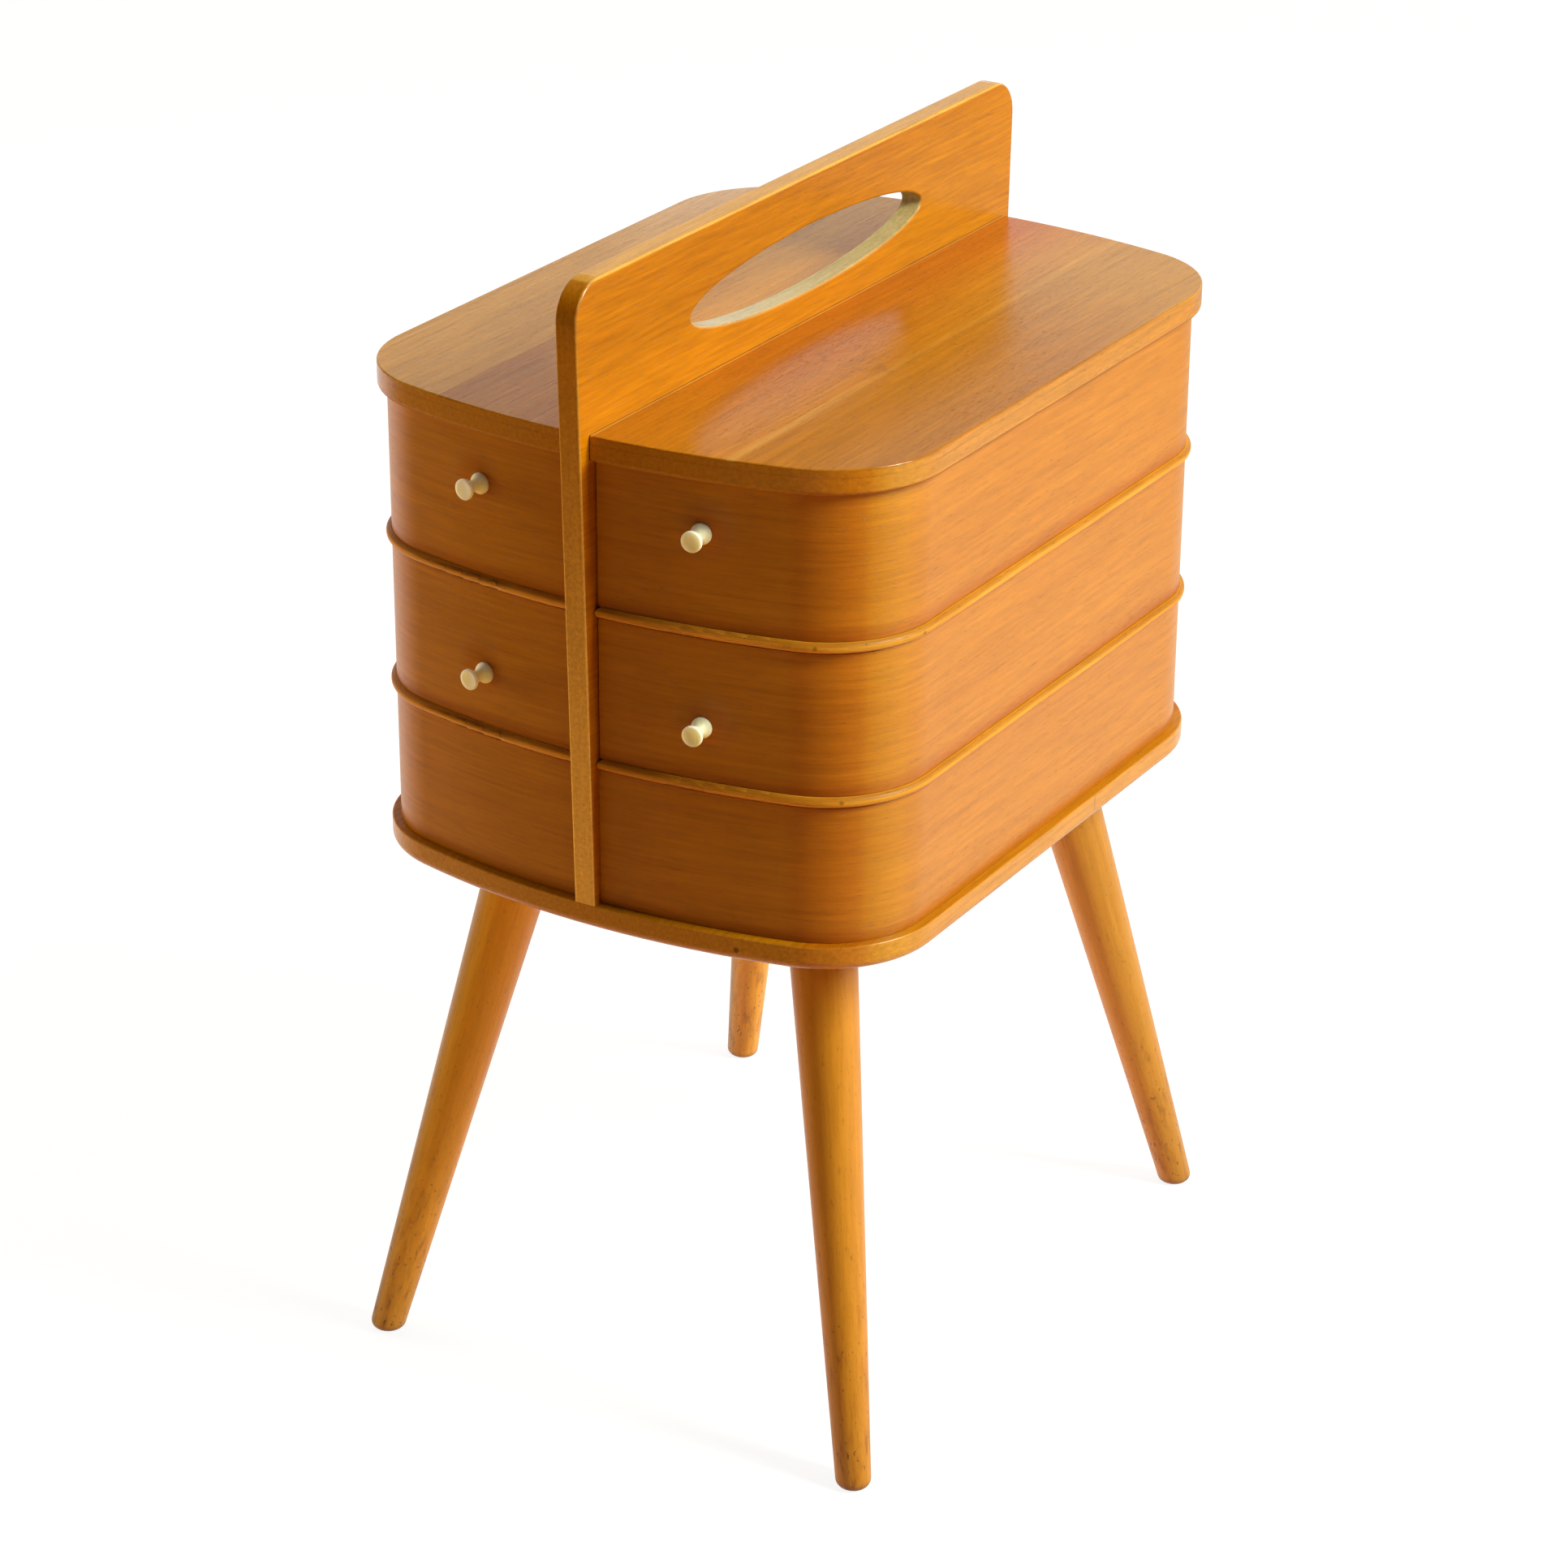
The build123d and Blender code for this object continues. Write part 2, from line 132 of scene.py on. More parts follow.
class SewingBoxFinishes(PropertyGroup):
    wall_light: tone("Wall, light", "Light bands of the wall veneer", (0.50, 0.190, 0.008))
    wall_dark: tone("Wall, dark", "Dark bands of the wall veneer", (0.43, 0.150, 0.004))
    lid_light: tone("Lid, light", "Light bands of the lid veneer", (0.455, 0.162, 0.002))
    lid_dark: tone("Lid, dark", "Dark bands of the lid veneer", (0.385, 0.127, 0.001))
    board_light: tone("Board, light", "Light bands of the centre board", (0.49, 0.168, 0.001))
    board_dark: tone("Board, dark", "Dark bands of the centre board", (0.40, 0.122, 0.001))
    lipping: tone("Lipping", "Solid wood on the edges of lids and base plate", (0.47, 0.19, 0.008))
    board_edge: tone("Board edge", "Pale lipping on the board's ends and rim", (0.80, 0.46, 0.10))
    bead: tone("Bead", "Rounded edge of the tray floors", (0.70, 0.31, 0.030))
    leg_light: tone("Leg, light", "Light grain of the turned legs", (0.72, 0.325, 0.034))
    leg_dark: tone("Leg, dark", "Dark grain of the turned legs", (0.60, 0.250, 0.016))
    bare: tone("Bare beech", "Unvarnished beech and plywood edges", (0.72, 0.56, 0.25))
    glue_line: tone("Glue line", "Dark plies and open pores", (0.20, 0.07, 0.015))
    cream: tone("Cream plastic", "Moulded knobs", (0.92, 0.95, 0.80))
    steel: tone("Steel", "Rods, washers and screws", (0.60, 0.60, 0.58))
    varnish_gloss: FloatProperty(name="Varnish roughness", description="Roughness of flat varnished panels",
                                 default=0.15, min=0, max=1, subtype="FACTOR")


class SewingBoxStage(PropertyGroup):
    azimuth: FloatProperty(name="Azimuth", description="Camera angle from the knob end towards +X",
                           default=radians(30.991), subtype="ANGLE")
    elevation: FloatProperty(name="Elevation", description="Camera angle above level",
                             default=radians(24.780), subtype="ANGLE")
    roll: FloatProperty(name="Roll", description="Turn of the camera about its view", default=radians(0.344),
                        subtype="ANGLE")
    distance: length("Distance", "From the camera to its target", 2.41698)
    target: FloatVectorProperty(name="Target", description="Point in the middle of the picture",
                                default=(-0.012316, 0.006978, 0.290914), size=3, subtype="TRANSLATION")
    lens: FloatProperty(name="Lens", description="Focal length on a 36 mm sensor", default=100.38,
                        subtype="DISTANCE_CAMERA")
    key_light: brightness("Key light", "Light from the right, 1 is a plain level", 1.40)
    fill_light: brightness("Fill light", "Light from the left", 0.75)
    ambient: brightness("Ambient", "Light from above and behind", 1.10)
    backdrop: brightness("Backdrop", "Brightness of the background, 1 is white", 1.0)


# Node trees


def maths(operation, backwards=False):
    """Method that puts a wire, and the terms after it, through a Math node."""
    def add_node(*terms):
        terms = terms[::-1] if backwards else terms
        tree = next(term.tree for term in terms if isinstance(term, Wire))
        return node(tree, "ShaderNodeMath", {"operation": operation}, dict(enumerate(terms)))
    return add_node


class Wire:
    """Output of a node; arithmetic on it adds Math nodes to its tree."""

    def __init__(self, tree, made, output):
        self.tree = tree
        self.made = made
        self.output = output

    def of(self, name):
        """Another output of the same node."""
        return Wire(self.tree, self.made, self.made.outputs[name])

    def __neg__(self):
        return self * -1.0

    __add__ = maths("ADD")
    __radd__ = maths("ADD", backwards=True)
    __sub__ = maths("SUBTRACT")
    __rsub__ = maths("SUBTRACT", backwards=True)
    __mul__ = maths("MULTIPLY")
    __truediv__ = maths("DIVIDE")
    __pow__ = maths("POWER")
    __abs__ = maths("ABSOLUTE")
    least = maths("MINIMUM")
    most = maths("MAXIMUM")
    sign = maths("SIGN")
    root = maths("SQRT")
    sine = maths("SINE")
    cosine = maths("COSINE")
    arcsine = maths("ARCSINE")
    arctangent = maths("ARCTAN2")


def find_socket(sockets, key):
    """Socket by its number, its identifier or its name."""
    if isinstance(key, int):
        return sockets[key]
    for socket in sockets:
        if socket.identifier == key:
            return socket
    return sockets[key]


def node(tree, kind, settings=None, sockets=None, output=0):
    """New node: its settings first, then the values or links of its sockets."""
    made = tree.nodes.new(kind)
    for name, value in (settings or {}).items():
        setattr(made, name, value)
    for key, value in (sockets or {}).items():
        socket = find_socket(made.inputs, key)
        if isinstance(value, Wire):
            tree.links.new(value.output, socket)
        elif socket.type == "RGBA":
            socket.default_value = (*value, 1)
        else:
            socket.default_value = value
    return Wire(tree, made, find_socket(made.outputs, output) if made.outputs else None)


def vector(tree, x=0.0, y=0.0, z=0.0):
    """Vector from three values."""
    return node(tree, "ShaderNodeCombineXYZ", sockets={0: x, 1: y, 2: z})


def split(whole):
    """The three values of a vector."""
    parts = node(whole.tree, "ShaderNodeSeparateXYZ", sockets={0: whole})
    return [parts.of(axis) for axis in "XYZ"]


def blank_tree(owner):
    """Empty node tree of a material or a world."""
    owner.use_nodes = True
    owner.node_tree.nodes.clear()
    return owner.node_tree


# Shader building blocks


def eased(tree, value, low, high, start=0.0, end=1.0):
    """The value start at low, end at high, with a smooth change between them."""
    return node(tree, "ShaderNodeMapRange", {"interpolation_type": "SMOOTHSTEP"},
                {"Value": value, "From Min": low, "From Max": high, "To Min": start, "To Max": end})


def blended(tree, share, first, second):
    """Surface or backdrop between two others."""
    return node(tree, "ShaderNodeMixShader", sockets={0: share, 1: first, 2: second})


class Recipe:
    """Material under construction, on the object's own coordinates."""

    def __init__(self, name):
        self.material = bpy.data.materials.new(name)
        self.tree = blank_tree(self.material)
        self.point = self.grain_point = node(self.tree, "ShaderNodeTexCoord").of("Object")
        self.x, self.y, self.z = split(self.point)

    def combined(self, operation, first, second, output=0):
        """Two vectors or colours through a Vector Math node."""
        return node(self.tree, "ShaderNodeVectorMath", {"operation": operation}, {0: first, 1: second},
                    output)

    def noise(self, run, along, across, detail=2.0, roughness=0.5, distortion=0.0):
        """Noise about 0.5, by one scale along the run of the grain and another across it."""
        scales = tuple(along if ahead else across for ahead in run)
        scaled = self.combined("MULTIPLY", self.grain_point, scales)
        return node(self.tree, "ShaderNodeTexNoise", {"noise_dimensions": "3D"},
                    {"Vector": scaled, "Scale": 1.0, "Detail": detail, "Roughness": roughness,
                     "Distortion": distortion})

    def ease(self, value, low, high):
        """0 at low, 1 at high, with a smooth change between them."""
        return eased(self.tree, value, low, high)

    def mix(self, factor, first, second):
        """Colour between two others."""
        return node(self.tree, "ShaderNodeMix", {"data_type": "RGBA"},
                    {"Factor_Float": factor, "A_Color": first, "B_Color": second}, "Result_Color")

    def shade(self, colour, amount):
        """Colour made lighter or darker."""
        return node(self.tree, "ShaderNodeVectorMath", {"operation": "SCALE"},
                    {"Vector": colour, "Scale": amount})

    def spot(self, centre, reach, soft=0.5):
        """1 at a point, falling to 0 at a distance from it."""
        gap = self.combined("DISTANCE", self.point, centre, "Value")
        return 1 - self.ease(gap, reach * (1 - soft), reach)

    def near(self, value, middle, half=0.0001, soft=0.0005):
        """1 where a value is within half of its middle; as given here, a fine line."""
        return 1 - self.ease(abs(value - middle), half, half + soft)

    def bump(self, height, distance):
        """Normal from a height between 0 and 1."""
        return node(self.tree, "ShaderNodeBump",
                    sockets={"Strength": 1.0, "Distance": distance, "Height": height})

    def finish(self, sockets):
        """The finished material, from the sockets of its principled surface."""
        surface = node(self.tree, "ShaderNodeBsdfPrincipled", sockets=sockets)
        node(self.tree, "ShaderNodeOutputMaterial", sockets={"Surface": surface})
        return self.material


class Veneer(Recipe):
    """Varnished wood: broad figure, fine streaks and open pores along the grain."""

    def __init__(self, name, run, light, dark, point=None, figure=(2.2, 17.0), streak_depth=0.80,
                 pore_depth=0.30, contrast=0.20):
        super().__init__(name)
        if point:
            self.grain_point = point(self)
        broad = self.noise(run, *figure, detail=3, roughness=0.55, distortion=0.4)
        middle = self.noise(run, 6.0, 130.0, detail=3, roughness=0.6)
        narrow = self.noise(run, 16.0, 300.0, detail=3, roughness=0.6)
        self.streaks = self.noise(run, 24.0, 500.0, detail=5, roughness=0.65)
        pores = self.noise(run, 170.0, 3600.0, detail=1)
        self.pores = self.ease(pores, 0.62, 0.76)
        blend = self.ease(broad * 0.30 + middle * 0.30 + narrow * 0.40, 0.5 - contrast, 0.5 + contrast)
        self.colour = self.mix(blend, dark, light)
        self.grain_shade = 1 + (self.streaks - 0.5) * streak_depth - self.pores * pore_depth
        self.relief = self.streaks * 0.5 + (1 - self.pores) * 0.5

    def patch(self, mask, colour):
        """Another colour where the mask is 1."""
        self.colour = self.mix(mask, self.colour, colour)

    def tint(self, mask, factors):
        """Colour multiplied by three factors where the mask is 1."""
        self.colour = self.combined("MULTIPLY", self.colour, self.mix(mask, WHITE, factors))

    def darken(self, mask, amount):
        """Less light where the mask is 1."""
        self.colour = self.shade(self.colour, 1 - mask * amount)

    def varnished(self, roughness, specular, wear=None, relief=0.0001):
        """The finished material, with grain in its colour, gloss and relief."""
        colour = self.shade(self.colour, self.grain_shade)
        gloss = roughness + (self.streaks - 0.5) * 0.10 + self.pores * 0.10
        if wear is not None:
            gloss = gloss + wear * 0.25
        return self.finish({"Base Color": colour, "Roughness": gloss, "Specular IOR Level": specular,
                            "Normal": self.bump(self.relief, relief)})


# Finishes


def painted_corner_light(w, side, mask=1.0):
    """Painted light and shade on a corner: paler where it turns into the right side that the key light falls
    on, browner where it leaves the shaded end.
    """
    w.tint(w.near(w.x, side - 0.0080, 0.0040, 0.0040) * mask, (1.07, 1.14, 1.0))
    w.tint(w.near(w.x, side - 0.0335, 0.0040, 0.0120) * mask, (0.93, 0.93, 0.9))
    w.tint(w.near(w.x, side - 0.0290, 0.0080, 0.0140) * mask, (1.0, 0.82, 0.6))


def wall_finish(f):
    """Veneered bent plywood with its plies showing on the edges."""
    w = Veneer("wall_veneer", ALONG_WALL, f.wall_light, f.wall_dark, figure=(3.0, 26.0), streak_depth=0.66)
    depth, _, on_edge = split(node(w.tree, "ShaderNodeAttribute", {"attribute_name": "ply"}).of("Vector"))
    ply_pair = 0.002
    plies = w.mix(w.ease((depth * (2 * pi / ply_pair)).cosine(), -0.4, 0.4), f.glue_line, f.bare)
    w.patch(w.ease(on_edge, 0.5, 0.6), w.mix(0.35, plies, f.wall_light))
    # Painted shade on the wall just above each bead and the base plate: darker and deeper orange
    for ledge in ledges:
        w.tint(w.near(w.z, ledge, 0.0010, 0.0095), (0.84, 0.66, 0.25))
    # Painted light and shade on the right corners of the walls
    painted_corner_light(w, base_high[0] - WALL_INSET)
    # Painted shadow of each knob: a darker, redder patch on the veneer round it, where the varnish is also
    # rougher
    knob_shade = 0.0
    for level in LEVELS:
        low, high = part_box(f"{level}_tray_knob_right")
        for sign in SIDES.values():
            behind_knob = (sign * 0.068, low[1] + 0.014, (low[2] + high[2]) / 2 + 0.002)
            knob_shade = knob_shade + w.spot(behind_knob, 0.020, 0.8)
    w.tint(knob_shade, (0.84, 0.68, 0.4))
    return w.varnished(0.34, 0.5, wear=knob_shade * 2.0)


def lid_finish(f):
    """Lid with strips of veneer, a lipped edge and a worn seam along the board."""
    w = Veneer("lid_veneer", ALONG_BOX, f.lid_light, f.lid_dark, figure=(1.8, 30.0), streak_depth=0.95)
    top = lid_high[2]
    on_edge = w.ease(top - w.z, 0.0006, 0.0012)
    # Two strips of veneer meet on each lid
    right_joint, left_joint = 0.0844, 0.0894
    right_strip = w.ease(w.x, right_joint - 0.0002, right_joint + 0.0002)
    left_strip = w.ease(-w.x, left_joint - 0.0002, left_joint + 0.0002)
    left_inner = (1 - left_strip) * w.ease(-w.x, 0.0, 0.001)
    w.colour = w.shade(w.colour, 1.0 - right_strip * 0.08 + left_strip * 0.14 + left_inner * 0.16)
    # Painted reflection of the orange board in the right lid beside it, weaker at the front end
    board_reflection = w.ease(w.x, 0.0, 0.001) * (1 - w.ease(w.x, 0.02, 0.09))
    w.tint(board_reflection * (0.4 + w.ease(w.y, -0.17, -0.05) * 0.6), (1.0, 0.76, 0.2))
    # Painted sheen towards the back of both lids: paler, with far more blue
    w.tint(w.ease(w.y, 0.0, 0.17) * w.ease(abs(w.x), 0.02, 0.06), (1.14, 1.40, 7.5))
    # The left lid's outer strip is yellower, and its raised blue is a painted sheen
    w.tint(left_strip, (1.0, 1.28, 9.0))
    w.tint(left_strip * (1 - w.ease(-w.x, left_joint + 0.0002, 0.112)), (1.12, 1.12, 1.0))
    w.tint(left_inner, (1.20, 1.38, 1.0))
    w.tint(left_inner * (1 - w.ease(w.x, -left_joint - 0.0002, -0.066)), (0.78, 0.69, 1.0))
    w.darken(w.near(w.x, right_joint).most(w.near(w.x, -left_joint)) * (1 - on_edge), 0.18)
    streak = w.near(w.x + (w.streaks - 0.5) * 0.003, 0.0824, 0.0008, 0.0034)
    w.patch(streak * (0.24 - w.ease(w.y, -0.16, -0.02) * 0.17) * (1 - on_edge), f.board_edge)
    # Cloudy patch on the right lid
    clouds = w.noise(EVEN, 90, 90, detail=4)
    w.darken(w.spot((0.062, -0.045, top), 0.05, 0.9) * w.ease(clouds, 0.45, 0.7), 0.25)
    # Lipping, with the joint between its two plies
    w.patch(on_edge, f.lipping)
    # Painted light and shade on the lipping's right corners
    painted_corner_light(w, lid_high[0], on_edge)
    w.darken(w.near(w.z, top - 0.0044), 0.16)
    # Rubbed pale beside the board, dark where the two meet
    seam = abs(w.x) - board_high[0]
    w.patch(w.near(seam, 0.0012, 0.0004) * (1 - on_edge) * 0.35, f.board_edge)
    w.darken(1 - w.ease(seam, 0.00025, 0.0007), 0.75)
    # Painted shade along the lid's lower edge, where the varnish is also rougher
    lid_underside_shade = 1 - w.ease(w.z, lid_low[2] + 0.0010, lid_low[2] + 0.0024)
    w.darken(lid_underside_shade, 0.15)
    return w.varnished(f.varnish_gloss + 0.02, 0.5, wear=lid_underside_shade * 3.2, relief=0.00025)


def board_finish(f):
    """Centre board: faces along the box, upright lipping on both ends, bare rim in the hand hole."""
    w = Veneer("board_veneer", ALONG_BOX, f.board_light, f.board_dark, figure=(2.0, 34.0),
               streak_depth=0.95)
    face_x, top = board_high[0], board_high[2]
    # Painted light on the front half of the board's faces: lighter just above the lids, darker higher up.
    # The back half is yellower and less blue.
    front = 1 - w.ease(w.y, 0.0, 0.15)
    w.colour = w.shade(w.colour, 1 + front * (0.10 - w.ease(w.z, 0.580, 0.605) * 0.19))
    w.tint(1 - front, (1.0, 1.06, 0.5))
    # Painted shade on the board below the lids, between the trays
    w.tint(1 - w.ease(w.z, lid_low[2] - 0.002, lid_low[2]), (0.72, 0.58, 0.5))
    # Lipping on the two leaning ends and along the top. The ends carry painted light from the floor: paler
    # towards the foot and darker near the top.
    lipping = w.noise(UPRIGHT, 9.0, 500.0, detail=4, roughness=0.6)
    slope = (board_high[1] - BOARD_FOOT_REACH) / (top - board_low[2])
    end = abs(w.y) - (w.z - board_low[2]) * slope - BOARD_FOOT_REACH
    on_end = w.ease(end, -0.0007, -0.0003) * w.ease(face_x - abs(w.x), 0.0, 0.0002)
    floor_light_on_ends = w.mix(1 - w.ease(w.z, board_low[2], top), f.lipping, f.board_edge)
    w.patch(on_end, w.shade(floor_light_on_ends, 0.88 + lipping * 0.3 - w.ease(w.z, 0.607, 0.628) * 0.22))
    w.patch(w.ease(w.z, top - 0.0016, top - 0.0008), w.mix(0.1 + lipping * 0.3, f.lipping, f.board_edge))
    # Varnish rubbed thin on the arrises of the handle; their pale colour is also a painted highlight.
    arris = w.ease(abs(w.x), face_x - 0.0013, face_x - 0.0009)
    arris = arris * (1 - w.ease(abs(w.x), face_x - 0.00030, face_x - 0.00012))
    above_lid = w.ease(w.z, lid_high[2], lid_high[2] + 0.03) * (1 - w.ease(end, -0.004, -0.001))
    w.patch(arris * above_lid * 0.15, f.bare)
    # Bare rim of the hand hole: 1 on its outline, more outside it
    reach = (w.y / HAND_HOLE_HALF_LENGTH) ** 2.0 + ((w.z - HAND_HOLE_RISE) / HAND_HOLE_HALF_HEIGHT) ** 2.0
    rim = (1 - w.ease(reach, 1.03, 1.13)) * (1 - w.ease(abs(w.x), face_x - 0.0009, face_x - 0.0003))
    w.patch(rim * 0.9, w.shade(f.bare, 0.45 + lipping * 0.4))
    pale_chip = w.spot((-0.0063, -0.2170, 0.5949), 0.0016)
    w.darken(pale_chip, -0.5)
    return w.varnished(f.varnish_gloss + 0.06, 0.35, wear=arris * (1 - above_lid) * 2.5)


def base_finish(f):
    """Base plate with a lipped edge, its joint on the right side and one dark dot in front."""
    w = Veneer("base_veneer", ALONG_BOX, f.lid_light, f.lid_dark)
    on_edge = w.ease(w.z, base_low[2] + 0.0004, base_low[2] + 0.0012)
    on_edge = on_edge * (1 - w.ease(w.z, base_high[2] - 0.0006, base_high[2] - 0.0002))
    w.patch(on_edge, w.mix(w.streaks * 0.22, f.lipping, f.board_edge))
    # Painted light and shade on the base plate's right corners
    painted_corner_light(w, base_high[0])
    joint = w.near(w.y, 0.0450, soft=0.0004) * on_edge * w.ease(w.x, 0.15, 0.155)
    w.darken(joint, 0.5)
    dark_dot = w.spot((0.0857, -0.2020, 0.3044), 0.0020)
    w.darken(dark_dot, 0.55)
    return w.varnished(f.varnish_gloss + 0.1, 0.4)


def floor_finish(f):
    """Tray floor, plain on its flat faces, with a rounded, slightly chipped bead."""
    w = Veneer("tray_floor_ply", ALONG_WALL, f.bead, f.wall_light, figure=(8.0, 40.0))
    tops = ledges[1:]
    # Painted shade on the top of each bead, below the wall that stands on it
    for top in tops:
        bead_top_shade = w.ease(w.z, top - 0.0024, top - 0.0010) * (1 - w.ease(w.z, top - 0.00012, top - 0.00004))
        w.tint(bead_top_shade, (0.64, 0.54, 0.3))
    flat = [w.near(w.z, top - down, 0.00001, 0.00003) for down in (0.0, FLOOR_THICKNESS) for top in tops]
    flat = reduce(Wire.most, flat)
    broad = w.noise(ALONG_BOX, 3.0, 60.0, detail=3)
    fine = w.noise(ALONG_BOX, 22.0, 450.0, detail=4, roughness=0.6)
    w.patch(flat, w.mix(w.ease(broad, 0.35, 0.65), f.wall_dark, f.wall_light))
    w.grain_shade = w.grain_shade + flat * (0.65 + fine * 0.7 - w.grain_shade)
    w.relief = w.relief + flat * (fine - w.relief)
    # Painted highlight on the beads where the corner turns into the right side
    w.tint(w.near(w.x, 0.147, 0.005, 0.012), (1.04, 1.14, 1.5))
    chips = w.noise(EVEN, 260, 260, detail=2)
    chips = w.ease(chips, 0.74, 0.78) * (1 - flat)
    for dent in ((0.1580, -0.1430, 0.4727), (0.1232, -0.1903, 0.4734), (0.1351, -0.1830, 0.3907)):
        chips = chips.most(w.spot(dent, 0.0018, 0.9))
    w.darken(chips, 0.5)
    return w.varnished(0.42, 0.22)


def leg_grain(w):
    """Coordinates that run down the nearest leg's axis, moved apart from leg to leg."""
    side_x, side_y = w.x.sign(), w.y.sign()
    axis = Vector(LEG_TOP) - Vector(LEG_FOOT)
    turn = axis.rotation_difference(Vector((0, 0, 1))).to_euler()
    along = node(w.tree, "ShaderNodeMapping", {"vector_type": "POINT"},
                 {"Vector": vector(w.tree, abs(w.x), abs(w.y), w.z), "Rotation": turn})
    return w.combined("ADD", along, vector(w.tree, side_x * 0.31, side_y * 0.57, side_x * side_y))


def leg_finish(f):
    """Turned beech, with short dark flecks and scuffs towards the foot."""
    w = Veneer("leg_beech", UPRIGHT, f.leg_light, f.leg_dark, point=leg_grain, figure=(3.0, 60.0),
               streak_depth=0.35)
    flecks = w.noise(UPRIGHT, 260.0, 480.0, detail=2)
    scuffs = w.noise(UPRIGHT, 55.0, 230.0, detail=4, roughness=0.6)
    low = 1 - w.ease(w.z, 0.02, 0.16)
    w.patch(w.ease(flecks, 0.64, 0.71) * (0.25 + low * 0.55), f.glue_line)
    w.patch(w.ease(scuffs, 0.58, 0.68) * low * 0.45, f.glue_line)
    w.tint(w.ease(scuffs, 0.46, 0.60) * low, (0.90, 0.84, 0.7))
    # Painted shadow under the base plate at the top of each leg; darker towards the foot
    w.darken(w.ease(w.z, 0.266, LEG_TOP[2]), 0.28)
    w.darken(1 - w.ease(w.z, 0.0, 0.09), 0.12)
    # Painted light and shade on each leg: the left legs lighter, the front right one darker and browner, and
    # each leg darker on one side; outward is -1 at its inner and 1 at its outer edge
    left = w.ease(-w.x, 0.0, 0.01)
    front = w.ease(-w.y, 0.0, 0.01)
    from_axis = abs(w.x) + w.z * LEG_LEAN - LEG_FOOT[0]
    outward = from_axis / (w.z * LEG_TAPER + LEG_FOOT_RADIUS)
    w.tint(left, (1.30, 1.42, 1.3))
    w.tint(left * front, (1.06, 1.07, 1.05))
    w.darken(left * w.ease(outward, -0.2, 0.75), 0.55)
    w.darken(left * front * w.ease(-outward, 0.1, 0.9), 0.08)
    w.tint((1 - left) * front, (0.82, 0.76, 0.6))
    w.darken((1 - left) * (1 - front) * w.ease(outward, 0.0, 1.0), 0.27)
    # Darker still in the last few millimetres above the floor
    w.darken(1 - w.ease(w.z, 0.0, 0.006), 0.5)
    return w.varnished(0.36, 0.45)


def rail_or_post_grain(w):
    """Coordinates whose second axis runs along the inner walls, and upright in the pivot posts."""
    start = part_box("top_tray_pivot_block_right")[0][1]
    post = w.ease(w.y, start - 0.0001, start + 0.0001)
    return vector(w.tree, w.x, w.y + post * (w.z - w.y), w.z + post * (w.y - w.z))


def darker(colour, *shares):
    """Colour times one share, or a share for each channel."""
    return tuple(c * share for c, share in zip(colour, shares * 3))


def bare_finish(f):
    """Beech and plywood, sanded inside the box and varnished on its back end."""
    w = Veneer("beech", ALONG_BOX, f.bare, darker(f.bare, 0.8), point=rail_or_post_grain, figure=(4.0, 50.0))
    w.patch(w.ease(w.y, 0.200, 0.203), w.shade(f.lipping, 0.9))
    return w.varnished(0.55, 0.3)


def cream_finish(f):
    """Cream moulded plastic, a little cloudy, with yellower clouds."""
    r = Recipe("knob_plastic")
    clouds = r.noise(EVEN, 160, 160, detail=3)
    fine = r.noise(EVEN, 1500, 1500, detail=2)
    colour = r.mix(r.ease(clouds, 0.35, 0.7), darker(f.cream, 0.97, 0.93, 0.80), f.cream)
    return r.finish({"Base Color": colour, "Roughness": 0.40 + clouds * 0.12,
                     "Normal": r.bump(fine, 0.00002), "Subsurface Weight": 1.0,
                     "Subsurface Radius": (1.0, 0.9, 0.75), "Subsurface Scale": 0.005})


def steel_finish(f):
    """Bright drawn steel with fine rings."""
    r = Recipe("steel")
    rings = r.noise(UPRIGHT, 2400.0, 60.0, detail=3)
    stain = r.noise(EVEN, 70, 70, detail=3)
    colour = r.mix(r.ease(stain, 0.4, 0.75), f.steel, darker(f.steel, 0.7))
    colour = r.shade(colour, 0.85 + rings * 0.3)
    return r.finish({"Base Color": colour, "Roughness": 0.24 + rings * 0.16,
                     "Normal": r.bump(rings, 0.00002), "Metallic": 1.0})


FINISHES = {
    "wall_veneer": wall_finish,
    "lid_veneer": lid_finish,
    "board_veneer": board_finish,
    "base_veneer": base_finish,
    "tray_floor_ply": floor_finish,
    "leg_beech": leg_finish,
    "beech": bare_finish,
    "knob_plastic": cream_finish,
    "steel": steel_finish,
}
finished = {}


def material(slot):
    """Finish for one of the record's slots, made when it is first asked for."""
    if slot not in finished:
        finished[slot] = FINISHES[slot](bpy.context.scene.sewing_box_finishes)
    return finished[slot]


def dress(slot, *names):
    """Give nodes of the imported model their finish."""
    for name in names:
        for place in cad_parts[name].material_slots:
            place.material = material(slot)


# Shapes


def plain_mesh(name, verts, faces):
    """Mesh from its corners and faces."""
    mesh = bpy.data.meshes.new(name)
    mesh.from_pydata(verts, [], faces)
    return mesh


def add_object(name, data):
    """New object in the scene."""
    made = bpy.data.objects.new(name, data)
    bpy.context.collection.objects.link(made)
    return made


def apply_modifiers(made):
    """Turn an object's modifiers into plain mesh."""
    bpy.context.view_layer.update()
    graph = bpy.context.evaluated_depsgraph_get()
    plain = bpy.data.meshes.new_from_object(made.evaluated_get(graph), preserve_all_data_layers=True,
                                            depsgraph=graph)
    made.modifiers.clear()
    made.data = plain


def soften(mesh, angle=radians(40)):
    """Shade smoothly, with sharp edges only where faces meet at more than an angle."""
    mesh.shade_smooth()
    mesh.set_sharp_from_angle(angle=angle)


